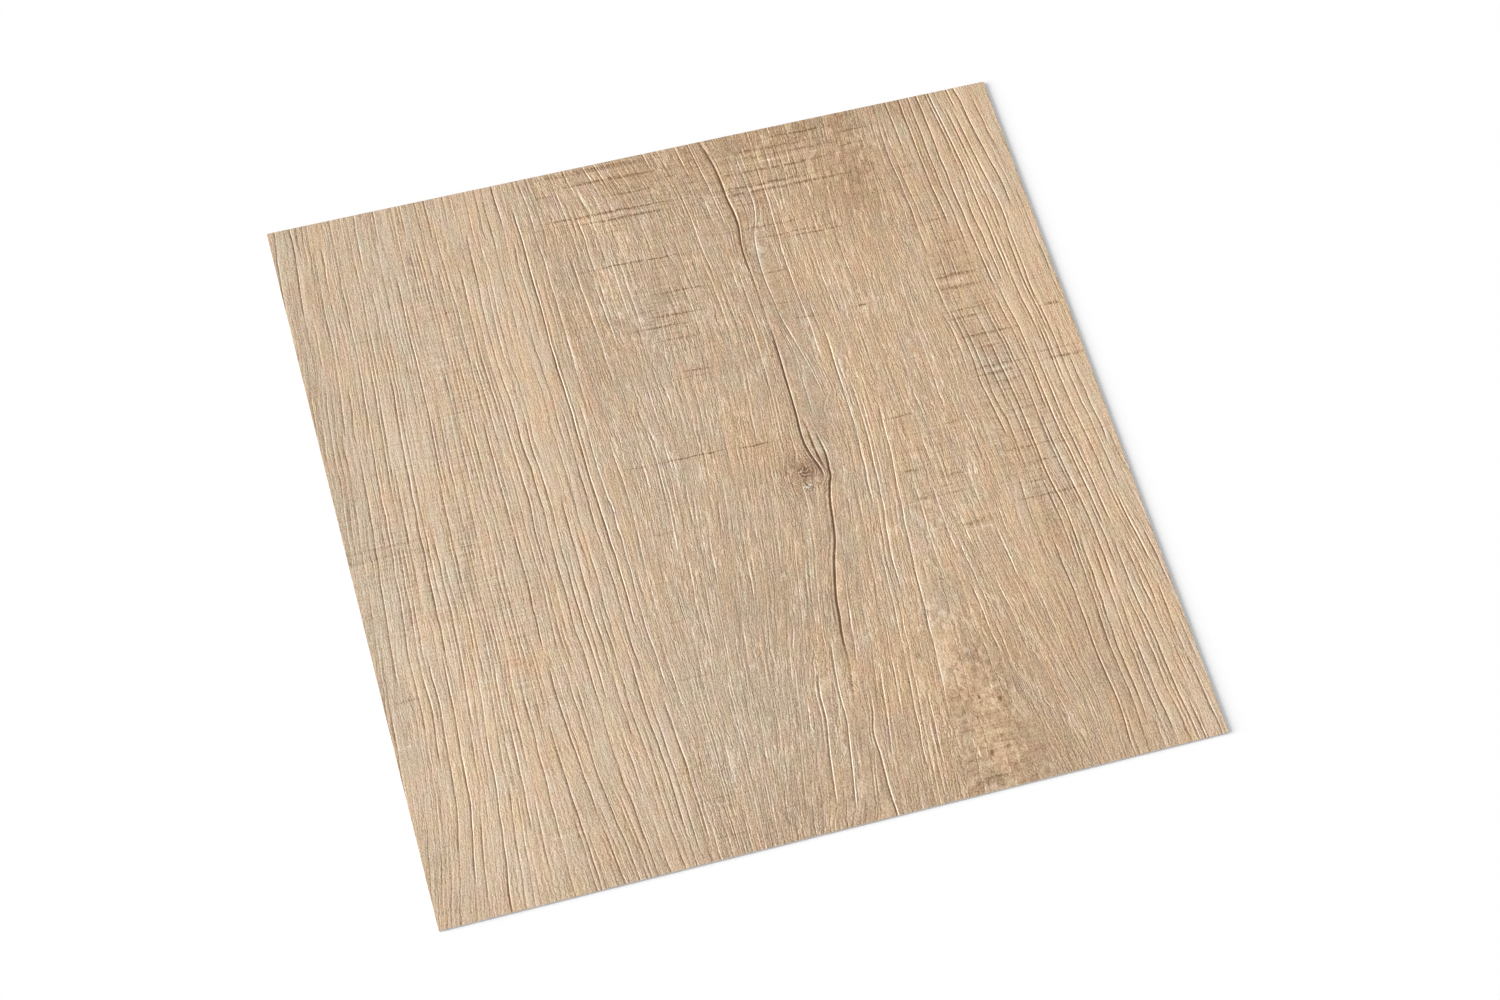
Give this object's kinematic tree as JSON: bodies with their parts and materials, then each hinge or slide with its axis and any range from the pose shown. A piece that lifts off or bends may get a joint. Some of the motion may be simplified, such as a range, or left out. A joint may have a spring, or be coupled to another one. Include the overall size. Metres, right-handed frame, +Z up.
{
  "type": "vinyl floor tile",
  "caption": "Square self-adhesive vinyl floor tile with a printed and embossed wood-grain face, flat grey back and square-cut edges for butt jointing.",
  "frame": {"origin": "middle of the underside, the face that is stuck down, so the tile lies on the plane z = 0", "axes": "+Z up out of the printed face; +Y along the printed grain; +X across the grain"},
  "size_m": [0.305, 0.305, 0.0015],
  "materials": {
    "printed_vinyl": "satin"
  },
  "bodies": {
    "root": {"vinyl_tile": "printed_vinyl"}
  },
  "joints": []
}
